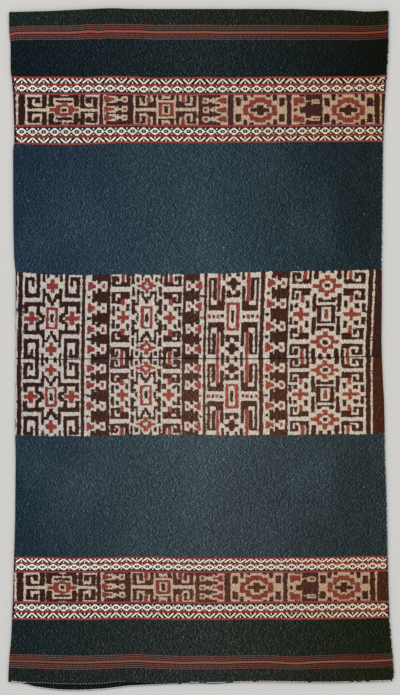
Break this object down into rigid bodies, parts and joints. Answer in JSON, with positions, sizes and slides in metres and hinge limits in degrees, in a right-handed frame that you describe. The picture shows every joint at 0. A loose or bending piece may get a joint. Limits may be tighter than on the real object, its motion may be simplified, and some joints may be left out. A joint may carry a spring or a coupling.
{
  "type": "ikat tube skirt laid flat",
  "caption": "Hand-woven cotton warp ikat tube skirt laid flat, its banded panels sewn edge to edge and pressed into a front and a back layer.",
  "frame": {"origin": "on the surface the cloth lies on, under the middle of its outline", "axes": "+X to the right across the cloth, +Y up its length, +Z away from the surface towards the viewer"},
  "size_m": [0.6568, 1.1608, 0.005],
  "materials": {
    "ikat_cotton": "matte hand-woven"
  },
  "bodies": {
    "root": {"upper_panel": "ikat_cotton", "lower_panel": "ikat_cotton"}
  },
  "joints": []
}
